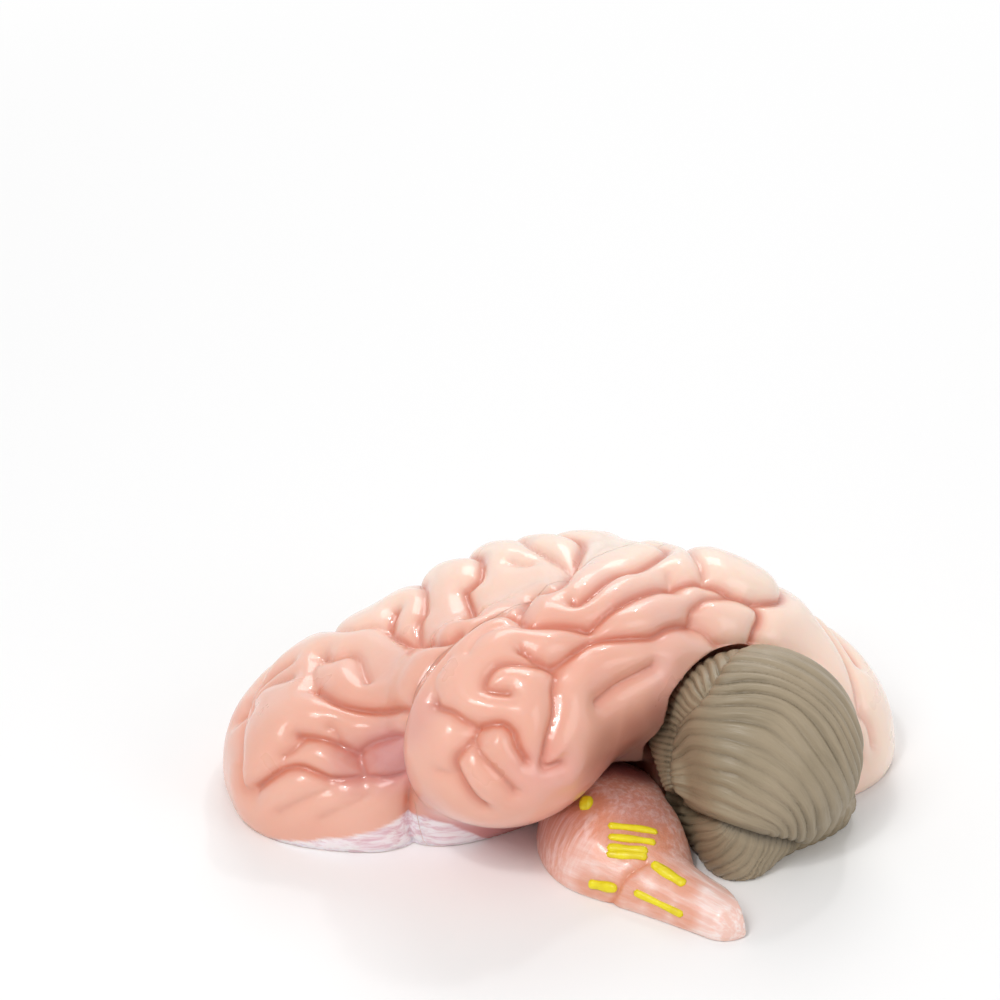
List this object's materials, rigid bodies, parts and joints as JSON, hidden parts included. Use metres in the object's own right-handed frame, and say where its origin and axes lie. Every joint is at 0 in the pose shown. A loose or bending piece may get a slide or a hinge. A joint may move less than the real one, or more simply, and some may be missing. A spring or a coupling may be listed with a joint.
{
  "type": "anatomical model of a brain half",
  "caption": "Life-size half brain teaching model that comes apart: two cortex lobes, a half cerebellum and a half brainstem held on steel pins, with a flat medial face.",
  "frame": {"origin": "in the plane of the flat medial face, a little above the underside of the frontal lobe", "axes": "+X runs back to the occipital pole, +Y up to the crown of the brain, +Z out of the medial face to the left side of the brain"},
  "size_m": [0.1721, 0.135, 0.0606],
  "materials": {
    "cortex": "gloss, hand-tinted darker in the folds",
    "brainstem": "gloss, brush-painted",
    "cerebellum": "satin",
    "pins": "brushed"
  },
  "bodies": {
    "frontoparietal": {"frontoparietal_lobe": "cortex"},
    "temporo_occipital": {"temporo_occipital_lobe": "cortex", "lobe_pins": "pins"},
    "cerebellum": {"cerebellum_half": "cerebellum", "cerebellum_pin": "pins", "brainstem_pin": "pins"},
    "brainstem": {"brainstem_half": "brainstem"}
  },
  "joints": [
    {"name": "lobe_slide", "type": "slide", "parent": "frontoparietal", "child": "temporo_occipital", "axis": [0.5821, -0.8131, 0], "range_m": [0, 0.04]},
    {"name": "cerebellum_slide", "type": "slide", "parent": "temporo_occipital", "child": "cerebellum", "axis": [0.1501, -0.9887, 0], "range_m": [0, 0.04]},
    {"name": "brainstem_slide", "type": "slide", "parent": "cerebellum", "child": "brainstem", "axis": [-0.2588, -0.9659, 0], "range_m": [0, 0.03]}
  ]
}
